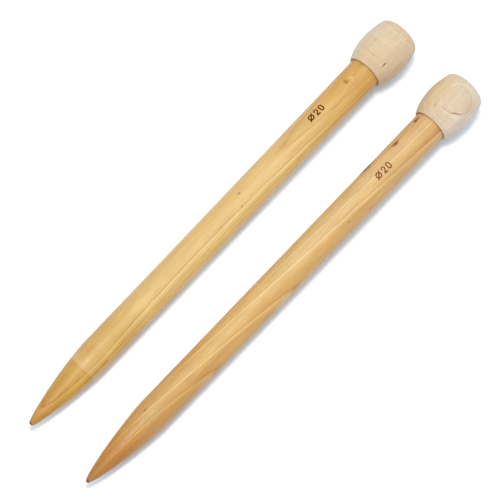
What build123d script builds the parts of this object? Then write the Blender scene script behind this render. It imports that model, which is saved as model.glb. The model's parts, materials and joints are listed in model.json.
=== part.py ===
from build123d import *

import math
import os
from dataclasses import dataclass

# A pair of straight, single-pointed wooden knitting needles, gauge 20 mm.
#
# Each needle is a turned shaft with one sanded point and, at its other end, a
# tenon just under the full gauge. A barrel-shaped knob, drilled blind, is slipped
# over the tenon and glued there.
#
# Row frame, millimetres: +X runs from the points to the knobs, +Y from the right
# needle to the left one, +Z up. The pair lies on a table at Z = 0, and the origin
# is the centre of its footprint. A needle is first built along the X axis, with
# the very tip of its point at X = 0.

# ---- Driving dimensions, millimetres and degrees ------------------------------

GAUGE_DIAMETER = 20.0        # the needle size, which is the shaft's diameter
NOMINAL_LENGTH = 330.0       # tip of the point to the end of the knob
LENGTH_DIFFERENCE = 4.4      # the hand-sanded points leave the pair this much apart

TAPER_LENGTH = 58.0          # tip of the point to where the full gauge begins
SHOULDER_HANDLE = 12.0       # the longer, the more gently the taper meets the gauge
TENON_DIAMETER = 19.4        # the glued end, inside the knob
TENON_CHAMFER = 0.8

KNOB_LENGTH = 33.0
KNOB_DIAMETER = 30.0         # at the belly of the barrel
KNOB_BELLY_FROM_MOUTH = 16.0
KNOB_MOUTH_DIAMETER = 22.8   # outside, where the shaft goes in
KNOB_END_DIAMETER = 24.6     # outside, at the end, before its edge is rounded
KNOB_END_ROUNDING = 4.6
KNOB_MOUTH_ROUNDING = 0.35

BORE_DIAMETER = 19.6         # leaves room for a glue film round the tenon
BORE_DEPTH = 20.0
BORE_COUNTERSINK = 0.75      # wider than the gauge, so it shows as a thin dark ring
DRILL_POINT_DEPTH = 2.5      # the cone that the drill leaves at the bottom
CUTTER_OVERRUN = 1.0         # how far the bore's cutter starts outside the knob
GLUE_END_GAP = 0.5           # glue under the end of the tenon
GLUE_BELOW_MOUTH = 1.5       # the film stops short of the mouth

NEEDLE_SPACING = 50.3        # between the two axes, halfway along
KNOB_STAGGER = 0.8           # the right knob lies this much nearer the points
SPLAY_ANGLE = 0.42           # the axes open by this angle towards the knobs


@dataclass(frozen=True)
class Size:
    """What differs between the two needles: the length and the shape of the point."""

    name: str
    length: float
    nose_radius: float       # rounding at the tip of the point
    nose_slope: float        # angle of the flank where that rounding ends
    flank_handle: float      # the longer, the longer the flank keeps that angle

    @property
    def mouth_x(self):
        """Where the shaft goes into the knob."""
        return self.length - KNOB_LENGTH

    @property
    def tenon_end_x(self):
        """Where the shaft ends, inside the knob."""
        return self.mouth_x + BORE_DEPTH - GLUE_END_GAP


LEFT = Size("left", NOMINAL_LENGTH - LENGTH_DIFFERENCE / 2, 1.9, 18.0, 14.6)
RIGHT = Size("right", NOMINAL_LENGTH + LENGTH_DIFFERENCE / 2, 1.4, 26.0, 8.8)

SHAFT_RADIUS = GAUGE_DIAMETER / 2
TENON_RADIUS = TENON_DIAMETER / 2
BORE_RADIUS = BORE_DIAMETER / 2
BELLY_RADIUS = KNOB_DIAMETER / 2


def turned(outline):
    """The solid that a closed outline in the XY plane makes, turned about X."""
    return revolve(make_face(outline), axis=Axis.X, revolution_arc=360)


# ---- Shaft --------------------------------------------------------------------

def shaft(size):
    """A shaft: rounded nose, curved taper, full gauge and tenon."""
    slope = math.radians(size.nose_slope)
    nose_end = (
        size.nose_radius * (1 - math.sin(slope)),
        size.nose_radius * math.cos(slope),
    )
    half_turn = (math.pi / 2 - slope) / 2
    nose_middle = (
        size.nose_radius * (1 - math.cos(half_turn)),
        size.nose_radius * math.sin(half_turn),
    )
    flank_control = (
        nose_end[0] + size.flank_handle * math.cos(slope),
        nose_end[1] + size.flank_handle * math.sin(slope),
    )
    shoulder_control = (TAPER_LENGTH - SHOULDER_HANDLE, SHAFT_RADIUS)
    shoulder = (TAPER_LENGTH, SHAFT_RADIUS)
    outline = Curve() + [
        ThreePointArc((0, 0), nose_middle, nose_end),
        Bezier(nose_end, flank_control, shoulder_control, shoulder),
        Polyline(
            shoulder,
            (size.mouth_x, SHAFT_RADIUS),
            (size.mouth_x, TENON_RADIUS),
            (size.tenon_end_x - TENON_CHAMFER, TENON_RADIUS),
            (size.tenon_end_x, TENON_RADIUS - TENON_CHAMFER),
            (size.tenon_end_x, 0),
            (0, 0),
        ),
    ]
    return turned(outline)


# ---- Knob ---------------------------------------------------------------------

def barrel_radius(from_mouth):
    """Outside radius of the barrel: one arc on each side of the belly."""
    if from_mouth < KNOB_BELLY_FROM_MOUTH:
        run = KNOB_BELLY_FROM_MOUTH
        rise = BELLY_RADIUS - KNOB_MOUTH_DIAMETER / 2
    else:
        run = KNOB_LENGTH - KNOB_BELLY_FROM_MOUTH
        rise = BELLY_RADIUS - KNOB_END_DIAMETER / 2
    arc_radius = (run**2 + rise**2) / (2 * rise)
    from_belly = from_mouth - KNOB_BELLY_FROM_MOUTH
    return BELLY_RADIUS - arc_radius + math.sqrt(arc_radius**2 - from_belly**2)


def knob(size):
    """A knob: a turned barrel with rounded edges, a flat end and a blind bore."""
    mouth = size.mouth_x

    def on_barrel(from_mouth):
        return (mouth + from_mouth, barrel_radius(from_mouth))

    def arc(start, end):
        return ThreePointArc(on_barrel(start), on_barrel((start + end) / 2), on_barrel(end))

    outline = Curve() + [
        arc(0, KNOB_BELLY_FROM_MOUTH),
        arc(KNOB_BELLY_FROM_MOUTH, KNOB_LENGTH),
        Polyline(on_barrel(KNOB_LENGTH), (size.length, 0), (mouth, 0), on_barrel(0)),
    ]
    barrel = turned(outline)
    rims = barrel.edges().filter_by(GeomType.CIRCLE).sort_by(Axis.X)
    barrel = fillet(rims[-1], KNOB_END_ROUNDING)
    rims = barrel.edges().filter_by(GeomType.CIRCLE).sort_by(Axis.X)
    barrel = fillet(rims[0], KNOB_MOUTH_ROUNDING)
    return barrel - bore_cutter(size)


def bore_cutter(size):
    """What the countersink and the drill remove from a knob."""
    mouth = size.mouth_x
    start = mouth - CUTTER_OVERRUN
    bottom = mouth + BORE_DEPTH
    outline = Polyline(
        (start, 0),
        (start, BORE_RADIUS + BORE_COUNTERSINK + CUTTER_OVERRUN),
        (mouth + BORE_COUNTERSINK, BORE_RADIUS),
        (bottom, BORE_RADIUS),
        (bottom + DRILL_POINT_DEPTH, 0),
        (start, 0),
    )
    return turned(outline)


def knob_glue(size):
    """The set glue: a film round the tenon, and a disc under its end."""
    film_start = size.mouth_x + GLUE_BELOW_MOUTH
    tenon_end = size.tenon_end_x
    bottom = size.mouth_x + BORE_DEPTH
    outline = Polyline(
        (film_start, TENON_RADIUS),
        (film_start, BORE_RADIUS),
        (bottom, BORE_RADIUS),
        (bottom, 0),
        (tenon_end, 0),
        (tenon_end, TENON_RADIUS - TENON_CHAMFER),
        (tenon_end - TENON_CHAMFER, TENON_RADIUS),
        (film_start, TENON_RADIUS),
    )
    return turned(outline)


# ---- The pair on the table ----------------------------------------------------

def lying(size, side):
    """Turn and shift that lay a needle down; side is +1 for left, -1 for right.

    The shaft's shoulder and the knob's belly both touch the table, so the knob
    end is raised a little. The axes open towards the knobs."""
    belly_x = size.mouth_x + KNOB_BELLY_FROM_MOUTH
    raised = math.degrees(math.asin((BELLY_RADIUS - SHAFT_RADIUS) / (belly_x - TAPER_LENGTH)))
    opened = side * SPLAY_ANGLE / 2
    turn = Rot(0, 0, opened) * Rot(0, -raised, 0)
    mouth = (turn * Pos(size.mouth_x, 0, 0)).position
    spread = NOMINAL_LENGTH / 2 * math.sin(math.radians(SPLAY_ANGLE / 2))
    shift = Pos(
        side * KNOB_STAGGER / 2 - mouth.X,
        side * (NEEDLE_SPACING / 2 + spread) - mouth.Y,
        0,
    )
    return shift * turn


def needle(size, side):
    """The named pieces of one needle, lying on the table."""
    place = lying(size, side)
    pieces = {
        f"{size.name}_shaft": place * shaft(size),
        f"{size.name}_knob": place * knob(size),
        f"{size.name}_knob_glue": place * knob_glue(size),
    }
    lowest = min(piece.bounding_box().min.Z for piece in pieces.values())
    return {name: Pos(0, 0, -lowest) * piece for name, piece in pieces.items()}


def pair():
    """All the pieces, with the middle of their footprint at the origin."""
    pieces = needle(LEFT, +1) | needle(RIGHT, -1)
    boxes = [piece.bounding_box() for piece in pieces.values()]
    middle_x = (min(box.min.X for box in boxes) + max(box.max.X for box in boxes)) / 2
    middle_y = (min(box.min.Y for box in boxes) + max(box.max.Y for box in boxes)) / 2
    return {name: Pos(-middle_x, -middle_y, 0) * piece for name, piece in pieces.items()}


if __name__ == "__main__":
    os.makedirs("parts", exist_ok=True)
    for name, piece in pair().items():
        piece.label = name
        export_step(piece, f"parts/{name}.step")
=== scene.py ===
import json
import math
from dataclasses import dataclass

import bpy
import numpy as np
from mathutils import Matrix, Vector


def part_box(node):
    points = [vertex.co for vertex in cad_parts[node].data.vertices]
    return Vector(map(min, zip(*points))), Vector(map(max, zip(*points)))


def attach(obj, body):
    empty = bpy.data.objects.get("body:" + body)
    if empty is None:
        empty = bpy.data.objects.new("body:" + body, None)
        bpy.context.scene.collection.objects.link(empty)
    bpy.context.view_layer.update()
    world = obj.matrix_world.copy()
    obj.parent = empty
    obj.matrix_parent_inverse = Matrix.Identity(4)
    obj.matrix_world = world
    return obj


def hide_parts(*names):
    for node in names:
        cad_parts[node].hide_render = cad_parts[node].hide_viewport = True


# A pair of straight wooden knitting needles, gauge 20 mm: for each one a varnished
# shaft, a raw turned knob and the glue between them.
#
# Every piece is turned about the X axis of its own frame, from an outline in
# millimetres: a shaft's origin is the tip of its point, and a knob's is the middle of
# its mouth. +X runs towards the knob's end, +Y to the left and +Z up. "Around" is an
# angle about X, in degrees from the top, positive towards +Y.

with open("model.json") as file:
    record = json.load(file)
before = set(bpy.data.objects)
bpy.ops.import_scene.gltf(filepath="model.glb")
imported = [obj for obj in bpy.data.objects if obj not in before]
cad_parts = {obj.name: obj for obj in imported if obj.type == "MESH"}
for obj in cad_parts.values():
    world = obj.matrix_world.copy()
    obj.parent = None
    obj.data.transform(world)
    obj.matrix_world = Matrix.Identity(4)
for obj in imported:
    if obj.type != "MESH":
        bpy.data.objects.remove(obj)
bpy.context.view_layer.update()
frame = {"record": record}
MM = 0.001                   # metres in a millimetre
SAME_PLACE = 1e-6            # millimetres, below which two points are taken as one


# ---- The needles, as the frame holds them -------------------------------------

@dataclass(frozen=True)
class Needle:
    """One needle's place, and its lengths along its axis in millimetres."""

    side: str
    body: str
    tip: Vector          # metres, in the row frame
    turn: Matrix         # from the needle's own axes to the row's
    gauge: float         # the shaft's radius
    shoulder: float      # tip to the start of the full gauge
    mouth: float         # tip to the knob's mouth
    length: float        # tip to the knob's end

    def place(self, from_tip):
        """The matrix of a piece whose origin is this far from the tip."""
        shift = Matrix.Translation((from_tip * MM, 0, 0))
        return Matrix.Translation(self.tip) @ self.turn @ shift


def read_needle(side):
    """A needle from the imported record's mounts and its shaft's box."""
    mounts = {mount["name"]: mount for mount in frame["record"]["mounts"]}
    gauge = mounts[side + "_gauge"]
    middle = Vector(gauge["pos_m"])
    half = Vector(gauge["axis"]).normalized() * gauge["dims"]["length_mm"] / 2 * MM
    along = -half.normalized()
    left = Vector((0, 0, 1)).cross(along).normalized()
    up = along.cross(left)
    lowest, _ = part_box(side + "_shaft")
    tip = middle + along * (lowest.x - middle.x) / along.x
    knob_end = Vector(mounts[side + "_knob_end"]["pos_m"])
    return Needle(
        side=side,
        body="needle_" + side,
        tip=tip,
        turn=Matrix((along, left, up)).transposed().to_4x4(),
        gauge=gauge["dims"]["r_mm"],
        shoulder=(middle + half - tip).length / MM,
        mouth=(middle - half - tip).length / MM,
        length=(knob_end - tip).length / MM,
    )


# ---- Outlines, in millimetres: (along, radius) --------------------------------

def arc(centre, radius, start, end, step):
    """Points on an arc between two angles in degrees, no more than a step apart."""
    count = max(2, math.ceil(abs(math.radians(end - start)) * radius / step) + 1)
    angles = np.radians(np.linspace(start, end, count))
    return np.column_stack((
        centre[0] + radius * np.cos(angles),
        centre[1] + radius * np.sin(angles),
    ))


def bezier(start, control_1, control_2, end, count):
    """Points on a cubic curve."""
    t = np.linspace(0, 1, count)[:, None]
    points = [np.array(point, float) for point in (start, control_1, control_2, end)]
    return (
        (1 - t)**3 * points[0]
        + 3 * (1 - t)**2 * t * points[1]
        + 3 * (1 - t) * t**2 * points[2]
        + t**3 * points[3]
    )


def spaced(start, end, step, windows=()):
    """Places from start to end at most a step apart, and closer inside the windows.

    A window is (from, to, finer step)."""
    inside = [edge for window in windows for edge in window[:2] if start < edge < end]
    edges = sorted({start, end, *inside})
    places = [start]
    for low, high in zip(edges, edges[1:]):
        middle = (low + high) / 2
        finest = min([step] + [fine for a, b, fine in windows if a < middle < b])
        count = math.ceil((high - low) / finest - SAME_PLACE)
        places.extend(np.linspace(low, high, count + 1)[1:])
    return np.array(places)


def level(start, end, radius, step, windows=()):
    """A stretch of one radius along the axis."""
    along = spaced(start, end, step, windows)
    return np.column_stack((along, np.full(len(along), radius)))


def corner(*points):
    """Points joined by straight lines."""
    return np.array(points, float)


# ---- Grooves: what is cut, burnt or cracked into a surface ---------------------

@dataclass(frozen=True)
class Groove:
    """A narrow groove along a line of (along, around) points."""

    line: tuple
    width: float         # millimetres, at the surface
    depth: float
    stain: float         # how dark its floor is, 0 to 1
    wall: float = 1.0    # share of the half width that slopes; 1 makes a V

    def window(self, radius, margin, fine):
        """The windows along and around that hold this groove on a surface of one radius."""
        along = [point[0] for point in self.line]
        around = [point[1] for point in self.line]
        turn = math.degrees(margin / radius)
        fine_turn = math.degrees(fine / radius)
        return (
            (min(along) - margin, max(along) + margin, fine),
            (min(around) - turn, max(around) + turn, fine_turn),
        )

    def share(self, along, around, radius):
        """How deep each surface point is in the groove, from 0 to 1."""
        arc_mm = math.radians(1) * radius
        nearest = np.full(along.shape, np.inf)
        for start, end in zip(self.line, self.line[1:]):
            run = np.array((end[0] - start[0], (end[1] - start[1]) * arc_mm))
            out = np.array((along - start[0], (around - start[1]) * arc_mm))
            t = np.clip(np.tensordot(run, out, 1) / (run @ run), 0, 1)
            away = np.hypot(out[0] - t * run[0], out[1] - t * run[1])
            nearest = np.minimum(nearest, away)
        half = self.width / 2
        return np.clip((half - nearest) / (half * self.wall), 0, 1)


# ---- Turned skins --------------------------------------------------------------

SHARP_EDGE = 30              # degrees, above which an edge isn't shaded smooth
TURN_STEP = 3.75             # degrees between the columns of a plain surface
STAIN = "stain"              # the mesh attribute that says how dark a groove is


def show(name, data):
    """A new object in the scene."""
    thing = bpy.data.objects.new(name, data)
    bpy.context.scene.collection.objects.link(thing)
    return thing


def carved(along, around, out, radius, inner, grooves):
    """Distances from the axis with the grooves cut in, and how dark the grooves' floors are."""
    outer = out > inner
    stain = np.zeros(out.shape)
    for groove in grooves:
        share = np.where(outer, groove.share(along, around, radius), 0)
        out = out - share * groove.depth
        stain = np.maximum(stain, share * groove.stain)
    return out, stain


def turned(name, needle, from_tip, outline, turns, radius=1.0, inner=0.0, grooves=(), lean=None):
    """A closed skin turned about X from an outline that starts and ends on the axis.

    The grooves are on a surface of this radius, are cut in towards the axis, and leave
    alone whatever is inside the inner radius. lean gives how far the axis strays to the
    left at each place along it."""
    keep = np.append(True, np.any(np.abs(np.diff(outline, axis=0)) > SAME_PLACE, axis=1))
    outline = outline[keep]
    along, around = np.meshgrid(outline[1:-1, 0], turns, indexing="ij")
    out = np.repeat(outline[1:-1, 1:2], len(turns), axis=1)
    out, stain = carved(along, around, out, radius, inner, grooves)
    angle = np.radians(around)
    skin = np.stack((along, out * np.sin(angle), out * np.cos(angle)), axis=-1)
    first = (outline[0, 0], 0, 0)
    last = (outline[-1, 0], 0, 0)
    vertices = np.vstack((first, skin.reshape(-1, 3), last))
    if lean is not None:
        vertices[:, 1] += lean(vertices[:, 0])
    mesh = bpy.data.meshes.new(name)
    mesh.from_pydata((vertices * MM).tolist(), [], skin_faces(*out.shape))
    mesh.shade_smooth()
    mesh.set_sharp_from_angle(angle=math.radians(SHARP_EDGE))
    marked = mesh.attributes.new(STAIN, "FLOAT", "POINT")
    marked.data.foreach_set("value", np.concatenate(([0], stain.ravel(), [0])))
    piece = show(name, mesh)
    piece.matrix_world = needle.place(from_tip)
    return piece


def skin_faces(rows, columns):
    """Quads between the rings of points, and a fan at each end."""
    ring = np.arange(columns)
    after = np.roll(ring, -1)
    last_ring = 1 + (rows - 1) * columns
    pole = 1 + rows * columns
    faces = [(0, 1 + a, 1 + b) for a, b in zip(ring, after)]
    for row in range(rows - 1):
        base = 1 + row * columns
        for a, b in zip(ring, after):
            faces.append((base + a, base + columns + a, base + columns + b, base + b))
    faces.extend((last_ring + a, pole, last_ring + b) for a, b in zip(ring, after))
    return faces


# ---- Shaft -----------------------------------------------------------------------

TENON_CLEARANCE = 0.3        # millimetres the tenon is under the gauge, in radius
TENON_LENGTH = 19.5
TENON_CHAMFER = 0.8
SHOULDER_HANDLE = 12.0       # the longer, the more gently the taper meets the gauge
SHAFT_STEP = 2.0             # millimetres between the rings of points on a plain shaft
NOSE_STEP = 0.12             # and on the nose
TAPER_RINGS = 64
LEAN_POWER = 1.4             # 1 leans the whole point evenly; more, mainly the tip


@dataclass(frozen=True)
class Point:
    """The shape of a needle's hand-sanded point."""

    nose_radius: float
    nose_slope: float        # degrees, where the nose meets the flank
    flank_handle: float      # the longer, the longer the flank keeps that slope
    lean: float              # how far the tip is off the axis, to the left


POINTS = {
    "left": Point(nose_radius=1.9, nose_slope=18.0, flank_handle=14.6, lean=-0.5),
    "right": Point(nose_radius=1.4, nose_slope=26.0, flank_handle=8.8, lean=0.62),
}


STREAK_FINENESS = 0.3        # millimetres between the columns of points on a streak

# The dark streaks that run back from the tip.
STREAKS = {
    "left": (
        Groove(
            ((4, -62), (12, -68), (27, -70), (38, -68), (47, -66), (58, -63)),
            width=1.9, depth=0.03, stain=0.36,
        ),
        Groove(((5, -63), (12, -68), (26, -70)), width=1.2, depth=0.05, stain=0.45),
    ),
    "right": (),
}


def shaft_outline(needle, point, windows):
    """Nose, curved taper, full gauge and tenon."""
    slope = math.radians(point.nose_slope)
    nose_end = 90 + point.nose_slope
    nose = arc((point.nose_radius, 0), point.nose_radius, 180, nose_end, NOSE_STEP)
    flank = (
        nose[-1][0] + point.flank_handle * math.cos(slope),
        nose[-1][1] + point.flank_handle * math.sin(slope),
    )
    taper = bezier(
        nose[-1],
        flank,
        (needle.shoulder - SHOULDER_HANDLE, needle.gauge),
        (needle.shoulder, needle.gauge),
        count=TAPER_RINGS,
    )
    tenon = needle.gauge - TENON_CLEARANCE
    end = needle.mouth + TENON_LENGTH
    return np.vstack((
        nose,
        taper,
        level(needle.shoulder, needle.mouth, needle.gauge, SHAFT_STEP, windows),
        level(needle.mouth, end - TENON_CHAMFER, tenon, SHAFT_STEP),
        corner((end, tenon - TENON_CHAMFER), (end, 0)),
    ))


# ---- Size mark: a diameter sign, a two and a zero --------------------------------

MARK_HEIGHT = 4.8            # millimetres over the strokes
MARK_STROKE = 0.95
MARK_DEPTH = 0.25
MARK_WALL = 0.35             # share of the half stroke that slopes
MARK_GAP = 0.46              # between the figures, in centre-line heights
FIGURE_WIDTH = 0.54          # of a figure, in centre-line heights
MARK_FINENESS = 0.12         # millimetres between the points of the surface round it
CURVE_STEP = 15              # degrees between the points of a curved stroke
SIGN_RADIUS = 0.43           # of the diameter sign's ring, in centre-line heights
BOWL_END = -35               # degrees, where the bowl of the two meets its straight back


@dataclass(frozen=True)
class Mark:
    """Where a needle's size mark is."""

    from_mouth: float        # millimetres from the knob's mouth back to its middle
    around: float            # degrees, of its middle
    stain: float


MARKS = {
    "left": Mark(from_mouth=42.0, around=9.5, stain=1.0),
    "right": Mark(from_mouth=43.0, around=-6.7, stain=0.9),
}


def curve(centre, radius, start, end):
    """A curved stroke, as points; a turn from start to end in degrees."""
    count = math.ceil(abs(end - start) / CURVE_STEP) + 1
    angles = np.radians(np.linspace(start, end, count))
    return [(centre[0] + radius * math.cos(a), centre[1] + radius * math.sin(a)) for a in angles]


def diameter_sign(height):
    """A ring and the slash through it. It is as wide as it is high."""
    middle = (height / 2, height / 2)
    ring = curve(middle, SIGN_RADIUS * height, 0, 360)
    slash = [(0, 0), (height, height)]
    return [ring, slash], height


def two(height):
    """A bowl, a straight back down to the foot, and the foot."""
    width = FIGURE_WIDTH * height
    bowl = curve((width / 2, height - width / 2), width / 2, 180, BOWL_END)
    return [bowl + [(0, 0), (width, 0)]], width


def zero(height):
    """Two straight sides joined by half circles."""
    width = FIGURE_WIDTH * height
    top = curve((width / 2, height - width / 2), width / 2, 0, 180)
    bottom = curve((width / 2, width / 2), width / 2, 180, 360)
    return [top + bottom + top[:1]], width


def mark_grooves(needle, mark):
    """The burnt strokes of the size mark, as grooves on the shaft."""
    height = MARK_HEIGHT - MARK_STROKE
    strokes = []
    foot = 0
    for figure in (diameter_sign, two, zero):
        lines, width = figure(height)
        strokes.extend([(foot + u, v) for u, v in line] for line in lines)
        foot += width + MARK_GAP * height
    total = foot - MARK_GAP * height
    start = needle.mouth - mark.from_mouth - total / 2
    per_mm = math.degrees(1 / needle.gauge)
    return [
        Groove(
            line=tuple((start + u, mark.around + (v - height / 2) * per_mm) for u, v in line),
            width=MARK_STROKE,
            depth=MARK_DEPTH,
            stain=mark.stain,
            wall=MARK_WALL,
        )
        for line in strokes
    ]


# ---- Knob ------------------------------------------------------------------------

BORE_CLEARANCE = 0.2         # millimetres the bore is under the gauge, in radius
BORE_DEPTH = 20.0
BORE_COUNTERSINK = 0.75
DRILL_POINT = 2.5
GLUE_BELOW_MOUTH = 1.5
BELLY = 16.0                 # from the mouth
BELLY_RADIUS = 15.0
MOUTH_RADIUS = 11.4
END_RADIUS = 12.3            # before the edge is rounded
MOUTH_ROUNDING = 0.35
END_ROUNDING = 4.6
RIM_LINE = 1.25              # a line turned beside the rim, from the mouth
RIM_LINE_WIDTH = 0.5
KNOB_STEP = 0.6              # millimetres between the rings of points
KNOB_TURN = 2.4              # degrees between the columns
SPLIT_FINENESS = 0.15        # millimetres between the points round a split


def arc_over(run, drop):
    """Radius of the arc that is level at its start and drops this much over this run."""
    return (run**2 + drop**2) / (2 * drop)


@dataclass(frozen=True)
class Barrel:
    """A knob's outside: one arc on each side of the belly, as far as the end."""

    length: float

    def arc_radius(self, along):
        """Radius of the arc that this place is on."""
        front = arc_over(BELLY, BELLY_RADIUS - MOUTH_RADIUS)
        back = arc_over(self.length - BELLY, BELLY_RADIUS - END_RADIUS)
        return np.where(np.asarray(along) < BELLY, front, back)

    def radius(self, along):
        """Radius of the barrel, before its edges are rounded."""
        arc_radius = self.arc_radius(along)
        return BELLY_RADIUS - arc_radius + np.sqrt(arc_radius**2 - (along - BELLY)**2)

    def rounding(self, along, radius):
        """Centre of an edge's rounding at this place, and the angle where it meets the barrel."""
        arc_radius = float(self.arc_radius(along))
        run = along - BELLY
        rise = math.sqrt((arc_radius - radius)**2 - run**2)
        centre = (along, BELLY_RADIUS - arc_radius + rise)
        return centre, math.degrees(math.atan2(rise, run))


def knob_outline(needle, windows, rim_line):
    """From the bottom of the blind bore to the mouth, over the barrel and to the end.

    rim_line is the depth of the line turned beside the rim."""
    barrel = Barrel(needle.length - needle.mouth)
    bore = needle.gauge - BORE_CLEARANCE
    mouth_edge, mouth_angle = barrel.rounding(MOUTH_ROUNDING, MOUTH_ROUNDING)
    end_edge, end_angle = barrel.rounding(barrel.length - END_ROUNDING, END_ROUNDING)
    mouth_arc = arc(mouth_edge, MOUTH_ROUNDING, 180, mouth_angle, KNOB_STEP / 4)
    end_arc = arc(end_edge, END_ROUNDING, end_angle, 0, KNOB_STEP)
    rim_window = (RIM_LINE - RIM_LINE_WIDTH, RIM_LINE + RIM_LINE_WIDTH, RIM_LINE_WIDTH / 4)
    along = spaced(mouth_arc[-1][0], end_arc[0][0], KNOB_STEP, [*windows, rim_window])
    in_line = np.clip(1 - np.abs(along - RIM_LINE) / (RIM_LINE_WIDTH / 2), 0, 1)
    return np.vstack((
        corner((BORE_DEPTH + DRILL_POINT, 0)),
        level(BORE_COUNTERSINK, BORE_DEPTH, bore, KNOB_STEP)[::-1],
        corner((0, bore + BORE_COUNTERSINK)),
        mouth_arc,
        np.column_stack((along, barrel.radius(along) - rim_line * in_line)),
        end_arc,
        corner((barrel.length, end_edge[1] / 2), (barrel.length, 0)),
    ))


@dataclass(frozen=True)
class KnobWear:
    """What is turned or has split in a knob's surface."""

    rim_line: float          # depth of the turned line behind the mouth
    splits: tuple            # grooves, from the middle of the mouth


KNOB_WEAR = {
    "left": KnobWear(
        rim_line=0.0,
        splits=(
            Groove(((4.9, -39.5), (9.1, -38.6)), width=0.55, depth=0.25, stain=0.75),
            Groove(((6.6, -39.3), (8.4, -38.8)), width=0.95, depth=0.5, stain=1.0),
        ),
    ),
    "right": KnobWear(
        rim_line=0.12,
        splits=(
            Groove(
                (
                    (9.0, -2), (8.7, -10), (8.9, -20), (9.7, -29), (11.4, -37),
                    (12.9, -45), (14.3, -51), (16.2, -56), (18.4, -58.5), (20.8, -59),
                ),
                width=0.5, depth=0.15, stain=0.6,
            ),
            Groove(
                ((10.6, -33.5), (11.8, -39), (12.6, -44), (14.0, -50)),
                width=0.8, depth=0.4, stain=0.8,
            ),
            Groove(
                ((20.8, -59), (23.5, -53), (25.6, -44), (26.8, -31), (26.6, -14), (25.4, -2)),
                width=1.1, depth=0.04, stain=0.14,
            ),
        ),
    ),
}


def knob_glue_outline(needle):
    """The set glue: a disc under the tenon's end and a film round the tenon."""
    tenon = needle.gauge - TENON_CLEARANCE
    bore = needle.gauge - BORE_CLEARANCE
    return np.vstack((
        corner((TENON_LENGTH, 0), (TENON_LENGTH, tenon - TENON_CHAMFER)),
        level(GLUE_BELOW_MOUTH, TENON_LENGTH - TENON_CHAMFER, tenon, KNOB_STEP)[::-1],
        level(GLUE_BELOW_MOUTH, BORE_DEPTH, bore, KNOB_STEP),
        corner((BORE_DEPTH, 0)),
    ))


# ---- Shaders ---------------------------------------------------------------------

NOISE_LOW = 0.3                     # most of a noise's values are between these two
NOISE_HIGH = 0.7
NOISE_MIDDLE = 0.5
SEED_SHIFT = (37.0, 11.0, 23.0)     # millimetres that one seed moves a noise
RAGGED_SIZE = (1.2, 0.4, 0.4)       # millimetres, of the noise in a spot's rough skin
RAGGED_DEPTH = 0.35                 # how far that skin strays, in shares of the spot


def srgb(red, green, blue):
    """A colour as a screen shows it, 0 to 255, in the linear values a shader takes."""
    parts = [part / 255 for part in (red, green, blue)]
    return tuple(c / 12.92 if c <= 0.04045 else ((c + 0.055) / 1.055)**2.4 for c in parts) + (1,)


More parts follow.
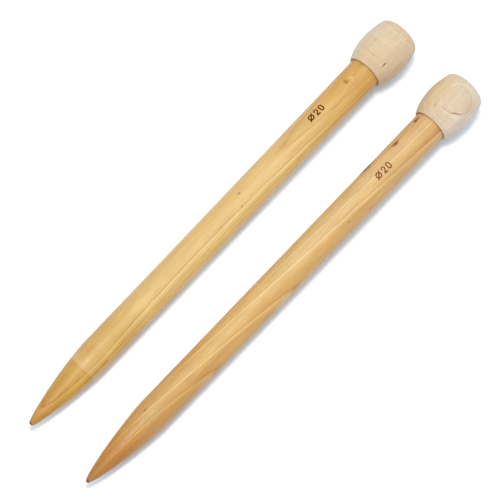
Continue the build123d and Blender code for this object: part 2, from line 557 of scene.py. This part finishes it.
class Shader:
    """A new material, built with one short call for each node."""

    def __init__(self, name):
        self.material = bpy.data.materials.new(name)
        self.material.use_nodes = True
        self.tree = self.material.node_tree
        self.tree.nodes.clear()
        texture = self.add("ShaderNodeTexCoord")
        self.place = self.vector("SCALE", texture.outputs["Object"], scale=1 / MM)

    def add(self, kind, inputs=None, **settings):
        """A node with its settings, and its inputs linked or filled in."""
        node = self.tree.nodes.new(kind)
        for name, value in settings.items():
            setattr(node, name, value)
        for key, value in (inputs or {}).items():
            if isinstance(value, bpy.types.NodeSocket):
                self.tree.links.new(value, node.inputs[key])
            else:
                node.inputs[key].default_value = value
        return node

    def math(self, operation, *values):
        """A number worked out from numbers."""
        inputs = dict(enumerate(values))
        return self.add("ShaderNodeMath", inputs, operation=operation).outputs[0]

    def vector(self, operation, *values, scale=None):
        """A vector worked out from vectors; a dot product or a length gives a number."""
        inputs = dict(enumerate(values))
        if scale is not None:
            inputs["Scale"] = scale
        node = self.add("ShaderNodeVectorMath", inputs, operation=operation)
        return node.outputs["Value" if operation in ("DOT_PRODUCT", "LENGTH") else "Vector"]

    def remap(self, value, low, high, to_low=0.0, to_high=1.0, smooth=False):
        """A value between low and high laid over another stretch, and held at its ends."""
        inputs = {
            "Value": value,
            "From Min": low,
            "From Max": high,
            "To Min": to_low,
            "To Max": to_high,
        }
        kind = "SMOOTHSTEP" if smooth else "LINEAR"
        return self.add("ShaderNodeMapRange", inputs, interpolation_type=kind).outputs[0]

    def spread(self, noise, low, high):
        """A noise laid over the stretch from low to high."""
        return self.remap(noise, NOISE_LOW, NOISE_HIGH, low, high)

    def noise(self, size, detail=2.0, seed=0.0):
        """Noise from 0 to 1 whose grains have this size in millimetres, (x, y, z)."""
        moved = self.vector("ADD", self.place, tuple(seed * shift for shift in SEED_SHIFT))
        scaled = self.vector("DIVIDE", moved, size)
        inputs = {"Vector": scaled, "Scale": 1.0, "Detail": detail}
        return self.add("ShaderNodeTexNoise", inputs).outputs[0]

    def mix(self, share, under, over, blend="MIX"):
        """Two colours mixed; share is how much of the second shows.

        The node has sockets for every kind of value. Those for colours are inputs 6 and 7
        and output 2."""
        inputs = {0: share, 6: under, 7: over}
        node = self.add("ShaderNodeMix", inputs, data_type="RGBA", blend_type=blend)
        return node.outputs[2]

    def ramp(self, value, stops):
        """A colour or grey that changes along a list of (place, colour) stops."""
        node = self.add("ShaderNodeValToRGB", {0: value})
        elements = node.color_ramp.elements
        while len(elements) > 1:
            elements.remove(elements[-1])
        elements[0].position, elements[0].color = stops[0]
        for place, colour in stops[1:]:
            elements.new(place).color = colour
        return node.outputs[0]

    def spot(self, at, size, rough=False):
        """1 at a place in millimetres, fading to 0 at the skin of an ellipsoid."""
        away = self.vector("DIVIDE", self.vector("SUBTRACT", self.place, at), size)
        length = self.vector("LENGTH", away)
        if rough:
            ragged = self.noise(RAGGED_SIZE, seed=9)
            length = self.math("ADD", length, self.spread(ragged, -RAGGED_DEPTH, RAGGED_DEPTH))
        return self.remap(length, 0.0, 1.0, 1.0, 0.0, smooth=True)

    def bump(self, height, strength, distance):
        """The normal of a surface with a small relief, this many millimetres high."""
        inputs = {"Height": height, "Strength": strength, "Distance": distance * MM}
        return self.add("ShaderNodeBump", inputs).outputs[0]

    def surface(self, inputs):
        """The material, finished with a surface that has these inputs."""
        node = self.add("ShaderNodeBsdfPrincipled", inputs)
        self.add("ShaderNodeOutputMaterial", {0: node.outputs[0]})
        return self.material


# ---- Wood ------------------------------------------------------------------------

@dataclass(frozen=True)
class Rings:
    """Growth rings: bowed sheets, each with a dark line and a pale band before it.

    A sheet is where across . p + bow (bow_along . p - bow_at)^2 is constant, in
    millimetres from the piece's origin. lines holds each ring's place in those
    millimetres, how dark its line is and how pale its band is, 0 to 1."""

    across: tuple
    bow: float
    bow_along: tuple
    bow_at: float
    lines: tuple
    waver: float         # how far the lines stray, in millimetres
    line_width: float
    band_width: float


@dataclass(frozen=True)
class Fleck:
    """A small knot, pit or stain on the surface."""

    along: float         # from the piece's origin
    around: float
    size: tuple          # half lengths along and across, in millimetres
    colour: tuple
    strength: float


@dataclass(frozen=True)
class Knot:
    """A place that the growth rings bend round."""

    at: tuple            # millimetres in the piece's frame
    size: tuple
    push: float          # how far it moves the rings


@dataclass(frozen=True)
class Dip:
    """The line where a second dip of lacquer on the point ends."""

    at: float            # from the tip, on the axis
    normal: tuple        # across the plane that the lacquer's surface made; its x is 1
    waver: float
    edge: float          # half the width of the line
    band: float          # the width of the paler band behind it
    tint: tuple


@dataclass(frozen=True)
class Finish:
    """How smooth a piece is, and how much varnish is on it."""

    roughness: float
    varnish: float       # 0 raw, 1 glossy
    bump: float


VARNISHED = Finish(roughness=0.42, varnish=0.3, bump=0.12)
RAW = Finish(roughness=0.62, varnish=0.0, bump=0.35)


@dataclass(frozen=True)
class Wood:
    """How one piece of wood looks."""

    body: tuple
    late: tuple          # the dark line at the end of a year's growth
    pale: tuple
    rings: Rings
    tints: tuple         # (millimetres along the piece, colour that multiplies)
    sides: tuple         # (millimetres from the axis, sideways, colour that multiplies): painted light and shade across the piece, as the camera sees it
    flecks: tuple
    groove_colour: tuple          # the colour of a groove's floor: the burnt size mark and the dark streaks on a shaft, and the darkened inside of a split on a knob
    finish: Finish
    seed: float
    knots: tuple = ()
    dip: Dip | None = None


# The sizes of the noises in millimetres, along the fibres and across them.
SWAY = (45, 7, 7)            # the slow straying of the growth rings
SHAKE = (6, 1.2, 1.2)        # and the quick straying
FIBRES = (14, 0.55, 0.55)
HAIRS = (5, 0.22, 0.22)      # finer fibres among them
PORES = (0.9, 0.14, 0.14)
MOTTLE = (16, 4, 4)
GLOSS = (3, 3, 3)
LACQUER_EDGE = (2, 2, 2)     # the wavering of the second dip's line

PLAIN = 0.5                  # the tone of the wood between the rings' lines
FIBRE_TONE = 0.12            # how far the fibres move it
LIGHTEST = 1.06              # what hairs and mottle do to the light
DARKEST = 0.94
PORE_NOISE = (0.6, 0.75)     # a pore starts at the first value and is full at the second
PORE_LIGHT = 0.84
PORE_HEIGHT = -0.6           # in shares of the fibres' height
HAIR_HEIGHT = 0.5
GRAIN_HEIGHT = 0.06          # millimetres
GLOSS_RANGE = (-0.05, 0.08)  # how far the roughness strays from the finish's
STAIN_ROUGHNESS = 0.8
COAT_ROUGHNESS = 0.5
SPECULAR = 0.25
BAND_STRENGTH = 0.3          # of the paler band behind the second dip's line

ALONG = (1.0, 0.0, 0.0)
ACROSS = (0.0, 1.0, 0.0)


@dataclass(frozen=True)
class Grain:
    """The noises that run along the fibres of one piece."""

    fibres: bpy.types.NodeSocket
    hairs: bpy.types.NodeSocket
    pores: bpy.types.NodeSocket


def grain_of(shader, wood):
    """The grain of one piece of wood."""
    return Grain(
        fibres=shader.noise(FIBRES, detail=3, seed=wood.seed + 2),
        hairs=shader.noise(HAIRS, seed=wood.seed + 6),
        pores=shader.noise(PORES, detail=1, seed=wood.seed + 4),
    )


def ring_distance(shader, wood):
    """Millimetres across the growth rings, which stray a little and bend round knots."""
    rings = wood.rings
    straight = shader.vector("DOT_PRODUCT", shader.place, rings.across)
    along = shader.vector("DOT_PRODUCT", shader.place, rings.bow_along)
    off = shader.math("SUBTRACT", along, rings.bow_at)
    bowed = shader.math("MULTIPLY", shader.math("MULTIPLY", off, off), rings.bow)
    distance = shader.math("ADD", straight, bowed)
    slow = shader.noise(SWAY, seed=wood.seed)
    fast = shader.noise(SHAKE, seed=wood.seed + 1)
    for noise, reach in ((slow, rings.waver * 2), (fast, rings.waver)):
        stray = shader.math("MULTIPLY", shader.math("SUBTRACT", noise, NOISE_MIDDLE), reach)
        distance = shader.math("ADD", distance, stray)
    for knot in wood.knots:
        push = shader.math("MULTIPLY", shader.spot(knot.at, knot.size), knot.push)
        distance = shader.math("ADD", distance, push)
    return distance


def ring_tone(shader, wood, grain):
    """0 on a ring's dark line, PLAIN between the rings and 1 on a pale band."""
    rings = wood.rings
    low = rings.lines[0][0] - 2 * rings.band_width
    high = rings.lines[-1][0] + 2 * rings.band_width

    def stop(at, tone):
        return ((at - low) / (high - low), (tone, tone, tone, 1))

    stops = [stop(low, PLAIN)]
    for at, dark, glow in rings.lines:
        stops.append(stop(at - rings.band_width, PLAIN))
        stops.append(stop(at - rings.line_width, PLAIN + glow * (1 - PLAIN)))
        stops.append(stop(at, PLAIN - dark * PLAIN))
        stops.append(stop(at + rings.line_width, PLAIN))
    tone = shader.ramp(shader.remap(ring_distance(shader, wood), low, high), stops)
    return shader.math("ADD", tone, shader.spread(grain.fibres, -FIBRE_TONE, FIBRE_TONE))


def tinted(shader, colour, direction, tints):
    """The colour, multiplied by one that changes along a direction."""
    start, end = tints[0][0], tints[-1][0]
    stops = [((at - start) / (end - start), (*tint, 1)) for at, tint in tints]
    distance = shader.vector("DOT_PRODUCT", shader.place, direction)
    tint = shader.ramp(shader.remap(distance, start, end), stops)
    return shader.mix(1.0, colour, tint, "MULTIPLY")


def grained(shader, colour, wood, grain):
    """The colour, lighter and darker with the hairs, the mottle and the pores."""
    mottle = shader.noise(MOTTLE, detail=3, seed=wood.seed + 3)
    light = shader.math(
        "MULTIPLY",
        shader.spread(grain.hairs, DARKEST, LIGHTEST),
        shader.spread(mottle, DARKEST, LIGHTEST),
    )
    pores = shader.remap(grain.pores, *PORE_NOISE, 1.0, PORE_LIGHT)
    return shader.vector("SCALE", colour, scale=shader.math("MULTIPLY", light, pores))


def dipped(shader, colour, wood):
    """The colour under a second dip of lacquer, and paler just behind the dip's line."""
    dip = wood.dip
    past = shader.math("SUBTRACT", shader.vector("DOT_PRODUCT", shader.place, dip.normal), dip.at)
    waver = shader.math("MULTIPLY", shader.noise(LACQUER_EDGE, seed=3), dip.waver)
    past = shader.math("ADD", past, waver)
    inside = shader.remap(past, -dip.edge, dip.edge, 1.0, 0.0)
    colour = shader.mix(inside, colour, dip.tint, "MULTIPLY")
    fading = shader.remap(past, 0.0, dip.band, 1.0, 0.0)
    outside = shader.remap(past, -dip.edge, dip.edge)
    band = shader.math("MULTIPLY", fading, outside)
    return shader.mix(shader.math("MULTIPLY", band, BAND_STRENGTH), colour, wood.pale)


def flecked(shader, colour, flecks, radius_at):
    """The colour with flecks on it. radius_at gives the surface's radius at a place."""
    for fleck in flecks:
        angle = math.radians(fleck.around)
        radius = float(radius_at(fleck.along))
        at = (fleck.along, radius * math.sin(angle), radius * math.cos(angle))
        size = (fleck.size[0], fleck.size[1], fleck.size[1])
        share = shader.math("MULTIPLY", shader.spot(at, size, rough=True), fleck.strength)
        colour = shader.mix(share, colour, fleck.colour)
    return colour


def finished(shader, colour, wood, grain, stain):
    """The material of this colour, varnished or raw, and dull where it is stained."""
    height = shader.math("ADD", grain.fibres, shader.math("MULTIPLY", grain.pores, PORE_HEIGHT))
    height = shader.math("ADD", height, shader.math("MULTIPLY", grain.hairs, HAIR_HEIGHT))
    gloss = shader.noise(GLOSS, detail=3, seed=wood.seed + 5)
    roughness = shader.spread(gloss, *(wood.finish.roughness + stray for stray in GLOSS_RANGE))
    clean = shader.math("SUBTRACT", 1.0, stain)
    dull = shader.math("MULTIPLY", stain, STAIN_ROUGHNESS)
    return shader.surface({
        "Base Color": colour,
        "Roughness": shader.math("MAXIMUM", roughness, dull),
        "Normal": shader.bump(height, wood.finish.bump, GRAIN_HEIGHT),
        "Coat Weight": shader.math("MULTIPLY", clean, wood.finish.varnish),
        "Coat Roughness": COAT_ROUGHNESS,
        "Specular IOR Level": shader.math("MULTIPLY", clean, SPECULAR),
    })


def wood_material(name, wood, radius_at):
    """Rings, fibres, pores, tints, painted light and shade, and flecks, under varnish where there
    is any.
    """
    shader = Shader(name)
    grain = grain_of(shader, wood)
    tone = ring_tone(shader, wood, grain)
    colour = shader.ramp(tone, [(0.0, wood.late), (PLAIN, wood.body), (1.0, wood.pale)])
    colour = tinted(shader, colour, ALONG, wood.tints)
    # Painted light and shade: the colour changes across the piece as the camera sees it, in
    # darker and lighter bands, with a bluish painted sheen in places.
    colour = tinted(shader, colour, PAINTED_LIGHT_ACROSS, wood.sides)
    colour = grained(shader, colour, wood, grain)
    if wood.dip:
        colour = dipped(shader, colour, wood)
    colour = flecked(shader, colour, wood.flecks, radius_at)
    stain = shader.add("ShaderNodeAttribute", attribute_name=STAIN).outputs["Fac"]
    # The grooves' floors are darkened: the size mark's strokes, the streaks and the knobs'
    # splits.
    colour = shader.mix(stain, colour, wood.groove_colour)
    return finished(shader, colour, wood, grain, stain)


# ---- The four woods ----------------------------------------------------------------

def ring_normal(tilt):
    """The direction across rings that tilt from the top by this many degrees, towards +Y."""
    return (0.0, math.sin(math.radians(tilt)), math.cos(math.radians(tilt)))


PAINTED_LIGHT_ACROSS = ring_normal(-106.4)      # to the right of a needle as the camera sees it; the painted light and shade changes along it

WOODS = {
    "left_shaft": Wood(
        body=srgb(195, 161, 101),
        late=srgb(168, 110, 46),
        pale=srgb(206, 176, 120),
        rings=Rings(
            across=ring_normal(10),
            bow=2.2e-4,
            bow_along=ALONG,
            bow_at=139,
            lines=(
                (-8.6, 0.5, 0.5), (-4.4, 0.5, 0.4), (0.0, 0.6, 0.5), (4.8, 0.7, 0.5),
                (8.0, 0.65, 1.0), (11.6, 0.4, 0.3), (15.4, 0.5, 0.5),
            ),
            waver=0.2,
            line_width=0.42,
            band_width=1.7,
        ),
        knots=(
            Knot((281, 0, 10), (12, 4, 4), 0.8),
            Knot((271, -4.5, 9), (5, 2.5, 2.5), -0.5),
        ),
        tints=(
            (0, (0.7, 0.5, 0.2)), (20, (0.77, 0.62, 0.27)), (38, (0.84, 0.77, 0.38)),
            (46, (0.79, 0.67, 0.45)), (60, (0.87, 0.8, 0.62)), (73, (0.84, 0.76, 0.54)),
            (95, (0.95, 0.93, 0.87)), (130, (0.99, 0.99, 0.96)), (215, (0.99, 0.97, 0.94)),
            (240, (0.93, 0.87, 0.8)), (265, (0.93, 0.82, 0.6)), (282, (0.83, 0.67, 0.42)),
            (297, (0.84, 0.69, 0.44)),
        ),
        # painted light and shade: darker at the left edge, lighter towards the right with a
        # bluish painted sheen, as the camera sees it
        sides=(
            (-9.5, (0.91, 0.88, 0.81)), (-2.9, (0.96, 0.99, 0.98)), (2.9, (1.04, 1.1, 1.16)),
            (5.3, (1.13, 1.2, 1.24)), (7, (1.1, 1.1, 0.97)), (9.5, (1.12, 1.04, 0.88)),
        ),
        dip=Dip(
            at=46.3,
            normal=(1, -0.07, 0.29),
            waver=0.5,
            edge=0.5,
            band=11,
            tint=(0.95, 0.89, 0.76, 1),
        ),
        flecks=(
            Fleck(0.2, 0, (1.1, 2.2), srgb(84, 44, 18), 1.4),
            Fleck(279.4, 8, (2.2, 2.4), srgb(150, 92, 14), 1.1),
            Fleck(283.4, 3, (2.0, 2.2), srgb(214, 184, 132), 0.5),
            Fleck(185.0, 9.5, (1.0, 0.7), srgb(104, 88, 56), 1.2),
            Fleck(180.0, -28, (0.6, 0.9), srgb(120, 96, 60), 1.0),
            Fleck(11.6, -83.9, (0.6, 0.5), srgb(60, 40, 20), 0.8),
            Fleck(36.0, -37, (2.5, 1.0), srgb(150, 104, 44), 0.5),
            Fleck(41.5, 24, (2.6, 1.6), srgb(160, 112, 52), 0.35),
        ),
        groove_colour=srgb(84, 32, 12),
        finish=VARNISHED,
        seed=1.0,
    ),
    "right_shaft": Wood(
        body=srgb(195, 158, 101),
        late=srgb(168, 106, 48),
        pale=srgb(212, 184, 130),
        rings=Rings(
            across=ring_normal(103.6),
            bow=-1.357e-4,
            bow_along=ALONG,
            bow_at=417.5,
            lines=(
                (-28.5, 0.3, 0.5), (-23.6, 0.4, 0.8), (-18.4, 0.5, 1.0), (-11.2, 0.5, 0.9),
                (-5.6, 0.5, 0.6), (0.0, 0.5, 0.6), (4.5, 0.5, 0.4),
            ),
            waver=0.2,
            line_width=0.35,
            band_width=1.5,
        ),
        tints=(
            (0, (0.58, 0.36, 0.13)), (16, (0.64, 0.4, 0.09)), (25, (0.71, 0.46, 0.16)),
            (37, (0.79, 0.6, 0.32)), (52, (0.83, 0.71, 0.53)), (65, (0.85, 0.74, 0.56)),
            (97, (0.92, 0.81, 0.62)), (120, (0.97, 0.92, 0.78)), (150, (0.97, 0.88, 0.72)),
            (180, (1, 0.98, 0.94)), (206, (0.99, 0.96, 0.92)), (260, (0.98, 0.94, 0.92)),
            (297, (0.93, 0.84, 0.79)),
        ),
        # painted light and shade: darker at both edges and most on the right, with a bluish
        # painted sheen left of the middle, as the camera sees it
        sides=(
            (-9.5, (0.9, 0.86, 0.8)), (-6, (0.93, 0.98, 1.04)), (-4, (0.93, 1.02, 1.13)),
            (0, (0.94, 1, 1.03)), (1.4, (0.97, 1, 1.02)), (2.9, (0.93, 0.92, 0.88)),
            (4.7, (0.86, 0.8, 0.66)), (7, (0.86, 0.8, 0.64)), (8.2, (0.81, 0.75, 0.57)),
            (9.5, (0.8, 0.71, 0.54)),
        ),
        flecks=(
            Fleck(0.5, 0, (1.3, 1.9), srgb(100, 48, 14), 1.1),
            Fleck(274.2, 31, (3.2, 1.8), srgb(126, 48, 2), 1.8),
            Fleck(273.5, 34, (9.0, 0.6), srgb(140, 84, 36), 0.9),
            Fleck(293.8, 38, (3.2, 1.3), srgb(112, 44, 6), 1.8),
            Fleck(52.7, 15.4, (2.6, 0.9), srgb(148, 76, 34), 0.9),
            Fleck(219.5, -44, (0.8, 0.7), srgb(110, 82, 62), 1.2),
            Fleck(235.0, -72, (0.9, 0.8), srgb(100, 72, 56), 1.3),
            Fleck(252, 57, (10.0, 2.6), srgb(84, 44, 32), 1.2),
            Fleck(199, -98, (2.5, 0.8), srgb(110, 70, 44), 0.6),
        ),
        groove_colour=srgb(122, 56, 22),
        finish=VARNISHED,
        seed=7.0,
    ),
    "left_knob": Wood(
        body=srgb(186, 165, 133),
        late=srgb(176, 132, 86),
        pale=srgb(194, 177, 148),
        rings=Rings(
            across=ALONG,
            bow=-0.008,
            bow_along=ACROSS,
            bow_at=-3,
            lines=((2.5, 0.1, 0.2), (6.9, 0.15, 0.3), (19.0, 0.1, 0.2), (28.0, 0.25, 0.3)),
            waver=1.1,
            line_width=1.0,
            band_width=2.8,
        ),
        tints=(
            (0, (0.96, 0.95, 0.97)), (12, (0.99, 0.98, 0.98)), (22, (1, 1.02, 1.07)),
            (33, (0.98, 0.99, 1)),
        ),
        # painted light: a bluish painted sheen on the left edge, and lighter towards the right,
        # as the camera sees it
        sides=(
            (-13, (0.99, 1.05, 1.17)), (-7, (1.02, 1.05, 1.06)), (0, (1.02, 1.01, 1.01)),
            (7, (1.08, 1.05, 1.07)), (13, (1.14, 1.1, 1.12)),
        ),
        flecks=(
            Fleck(6.9, 14, (1.7, 8.5), srgb(188, 148, 100), 0.5),
            Fleck(7.0, -4, (1.1, 2.2), srgb(182, 136, 84), 0.6),
            Fleck(3.6, 8, (3.4, 7.5), srgb(190, 154, 112), 0.4),
            Fleck(15.0, 19.2, (1.4, 0.7), srgb(176, 118, 64), 1.0),
            Fleck(21.0, -2.7, (0.7, 0.5), srgb(175, 130, 85), 0.6),
            Fleck(23.5, -21, (1.1, 0.5), srgb(175, 130, 85), 0.6),
            Fleck(24.5, -17, (0.9, 0.4), srgb(175, 130, 85), 0.5),
        ),
        groove_colour=srgb(112, 48, 12),
        finish=RAW,
        seed=13.0,
    ),
    "right_knob": Wood(
        body=srgb(188, 170, 143),
        late=srgb(170, 134, 92),
        pale=srgb(198, 184, 161),
        rings=Rings(
            across=ring_normal(-23),
            bow=-0.018,
            bow_along=ALONG,
            bow_at=19.4,
            lines=(
                (-9.0, 0.25, 0.3), (-5.0, 0.25, 0.3), (-1.0, 0.3, 0.3), (3.4, 0.25, 0.3),
                (7.8, 0.2, 0.3), (12.5, 0.12, 0.5),
            ),
            waver=1.2,
            line_width=0.5,
            band_width=1.6,
        ),
        tints=((0, (0.99, 0.97, 0.97)), (24, (1.01, 1.02, 1.02)), (33, (1, 1.04, 1.13))),
        # painted light and shade: darker at the left edge, with a bluish painted sheen on the
        # right side, as the camera sees it
        sides=(
            (-14, (0.97, 0.91, 0.77)), (-4.6, (0.98, 0.95, 0.92)), (0, (1.02, 1.01, 1.01)),
            (6, (1.05, 1.06, 1.12)), (10, (1.02, 1.04, 1.17)), (14, (0.98, 1, 1.17)),
        ),
        flecks=(
            Fleck(7.9, 11.2, (1.6, 0.7), srgb(172, 110, 58), 1.0),
            Fleck(21.3, 44, (4.0, 0.7), srgb(150, 108, 66), 0.7),
            Fleck(17.5, 22, (7.5, 6.0), srgb(194, 162, 112), 0.6),
            Fleck(7.6, -31, (2.4, 2.0), srgb(176, 160, 148), 0.45),
            Fleck(21.0, -54, (10.0, 6.5), srgb(178, 150, 108), 0.55),
        ),
        groove_colour=srgb(122, 64, 22),
        finish=RAW,
        seed=19.0,
    ),
}


# ---- Glue --------------------------------------------------------------------------

AMBER = srgb(216, 186, 120)
DARK_AMBER = srgb(178, 132, 66)
FROTH = srgb(238, 224, 190)
BUBBLE = 0.5                 # millimetres
CLOUD = (4, 3, 3)            # of darker glue
FROTH_NOISE = (0.6, 0.75)    # froth starts at the first value and is full at the second
GLUE_ROUGHNESS = (0.18, 0.35)
GLUE_BUMP = 0.3
GLUE_HEIGHT = 0.1            # millimetres


def glue_material():
    """Set wood glue: amber and glossy, with small bubbles and ripples."""
    shader = Shader("wood_glue")
    bubbles = shader.noise((BUBBLE, BUBBLE, BUBBLE))
    colour = shader.mix(shader.noise(CLOUD, seed=3), AMBER, DARK_AMBER)
    colour = shader.mix(shader.remap(bubbles, *FROTH_NOISE), colour, FROTH)
    return shader.surface({
        "Base Color": colour,
        "Roughness": shader.spread(bubbles, *GLUE_ROUGHNESS),
        "Normal": shader.bump(bubbles, GLUE_BUMP, GLUE_HEIGHT),
    })


# ---- Pieces ----------------------------------------------------------------------

def add_piece(needle, kind, piece, material):
    """Give a piece its material and its place in the frame."""
    piece.data.materials.append(material)
    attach(piece, needle.body)
    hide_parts(needle.side + "_" + kind)


def make_shaft(needle):
    """A needle's shaft, with its size mark and the dark streaks of its point."""
    name = needle.side + "_shaft_wood"
    point = POINTS[needle.side]
    mark = mark_grooves(needle, MARKS[needle.side])
    streaks = STREAKS[needle.side]
    windows = [groove.window(needle.gauge, MARK_STROKE, MARK_FINENESS) for groove in mark]
    windows += [streak.window(needle.gauge, streak.width, STREAK_FINENESS) for streak in streaks]
    outline = shaft_outline(needle, point, [along for along, _ in windows])
    turns = spaced(-180, 180, TURN_STEP, [around for _, around in windows])[:-1]
    outside = outline[outline[:, 0] < needle.mouth]

    def lean(along):
        return point.lean * np.clip(1 - along / needle.shoulder, 0, 1)**LEAN_POWER

    def radius_at(along):
        return np.interp(along, outside[:, 0], outside[:, 1])

    grooves = [*mark, *streaks]
    piece = turned(
        name, needle, 0, outline, turns, radius=needle.gauge, grooves=grooves, lean=lean,
    )
    material = wood_material(name, WOODS[needle.side + "_shaft"], radius_at)
    add_piece(needle, "shaft", piece, material)


def make_knob(needle):
    """A needle's knob, with the line turned in it and its splits."""
    name = needle.side + "_knob_wood"
    wear = KNOB_WEAR[needle.side]
    windows = [split.window(BELLY_RADIUS, split.width, SPLIT_FINENESS) for split in wear.splits]
    outline = knob_outline(needle, [along for along, _ in windows], wear.rim_line)
    turns = spaced(-180, 180, KNOB_TURN, [around for _, around in windows])[:-1]
    barrel = Barrel(needle.length - needle.mouth)
    inner = MOUTH_RADIUS - MOUTH_ROUNDING       # so that no split reaches the bore
    piece = turned(
        name, needle, needle.mouth, outline, turns,
        radius=BELLY_RADIUS, inner=inner, grooves=wear.splits,
    )
    material = wood_material(name, WOODS[needle.side + "_knob"], barrel.radius)
    add_piece(needle, "knob", piece, material)


def make_glue(needle, material):
    """The glue film that holds a knob to its shaft."""
    name = needle.side + "_glue_film"
    turns = spaced(-180, 180, TURN_STEP)[:-1]
    piece = turned(name, needle, needle.mouth, knob_glue_outline(needle), turns)
    add_piece(needle, "knob_glue", piece, material)


# ---- Floor, light and camera ---------------------------------------------------------

FLOOR_REACH = 30                     # metres from the middle to each side
PAPER_COLOUR = (0.83, 0.9, 0.98, 1)
PAPER_GRAIN = 0.8                    # millimetres
PAPER_BUMP = 0.1
PAPER_HEIGHT = 0.05                  # millimetres
PAPER_ROUGHNESS = 0.9
PAPER_SPECULAR = 0.1

SKY_COLOUR = (0.98, 1, 1.03, 1)
SKY_STRENGTH = 1.0
LAMP_PLACE = (0, -0.06, 2.5)         # metres
LAMP_WIDTH = 0.7                     # metres
LAMP_POWER = 36                      # watts

CAMERA_AZIMUTH = -48.541             # degrees
CAMERA_ELEVATION = 66.0
CAMERA_DISTANCE = 4.5                # metres
PICTURE_WIDTH = 0.290867             # metres across, at the needles
AIM_HEIGHT = 0.010                   # metres, about that of the needles' axes
AIM_RIGHT = 0.00165                  # metres across and up the picture, from the row's middle
AIM_UP = 0.00435
SENSOR_WIDTH = 36                    # millimetres


def paper_material():
    """Plain white paper, as the floor."""
    shader = Shader("white_paper")
    grain = shader.noise((PAPER_GRAIN, PAPER_GRAIN, PAPER_GRAIN))
    return shader.surface({
        "Base Color": PAPER_COLOUR,
        "Roughness": PAPER_ROUGHNESS,
        "Normal": shader.bump(grain, PAPER_BUMP, PAPER_HEIGHT),
        "Specular IOR Level": PAPER_SPECULAR,
    })


def make_floor():
    """A wide floor at the height of the table."""
    low, high = -FLOOR_REACH, FLOOR_REACH
    corners = [(low, low, 0), (high, low, 0), (high, high, 0), (low, high, 0)]
    mesh = bpy.data.meshes.new("floor")
    mesh.from_pydata(corners, [], [(0, 1, 2, 3)])
    mesh.materials.append(paper_material())
    show("floor", mesh)


def make_sky():
    """Even light from every direction."""
    world = bpy.data.worlds.new("sky")
    bpy.context.scene.world = world
    world.use_nodes = True
    background = world.node_tree.nodes["Background"]
    background.inputs["Strength"].default_value = SKY_STRENGTH
    background.inputs["Color"].default_value = SKY_COLOUR


def make_lamp():
    """A soft lamp overhead, aimed at the row's middle. The camera doesn't see it."""
    data = bpy.data.lights.new("softbox", "AREA")
    data.shape = "DISK"
    data.size = LAMP_WIDTH
    data.energy = LAMP_POWER
    lamp = show("softbox", data)
    lamp.location = LAMP_PLACE
    lamp.visible_camera = False
    lamp.rotation_mode = "QUATERNION"
    lamp.rotation_quaternion = lamp.location.to_track_quat("Z", "Y")


def make_camera():
    """The camera, looking down on the row."""
    azimuth = math.radians(CAMERA_AZIMUTH)
    elevation = math.radians(CAMERA_ELEVATION)
    back = Vector((
        math.sin(azimuth) * math.cos(elevation),
        -math.cos(azimuth) * math.cos(elevation),
        math.sin(elevation),
    ))
    right = Vector((math.cos(azimuth), math.sin(azimuth), 0))
    up = back.cross(right)
    aim = Vector((0, 0, AIM_HEIGHT)) + right * AIM_RIGHT + up * AIM_UP
    turn = Matrix((right, up, back)).transposed().to_4x4()
    data = bpy.data.cameras.new("camera")
    data.sensor_width = SENSOR_WIDTH
    data.lens = SENSOR_WIDTH * CAMERA_DISTANCE / PICTURE_WIDTH
    camera = show("camera", data)
    camera.matrix_world = Matrix.Translation(aim + back * CAMERA_DISTANCE) @ turn
    bpy.context.scene.camera = camera


# ---- The scene -----------------------------------------------------------------------

glue = glue_material()
for side in ("left", "right"):
    needle = read_needle(side)
    make_shaft(needle)
    make_knob(needle)
    make_glue(needle, glue)
make_floor()
make_sky()
make_lamp()
make_camera()
bpy.context.scene.view_settings.view_transform = "Standard"
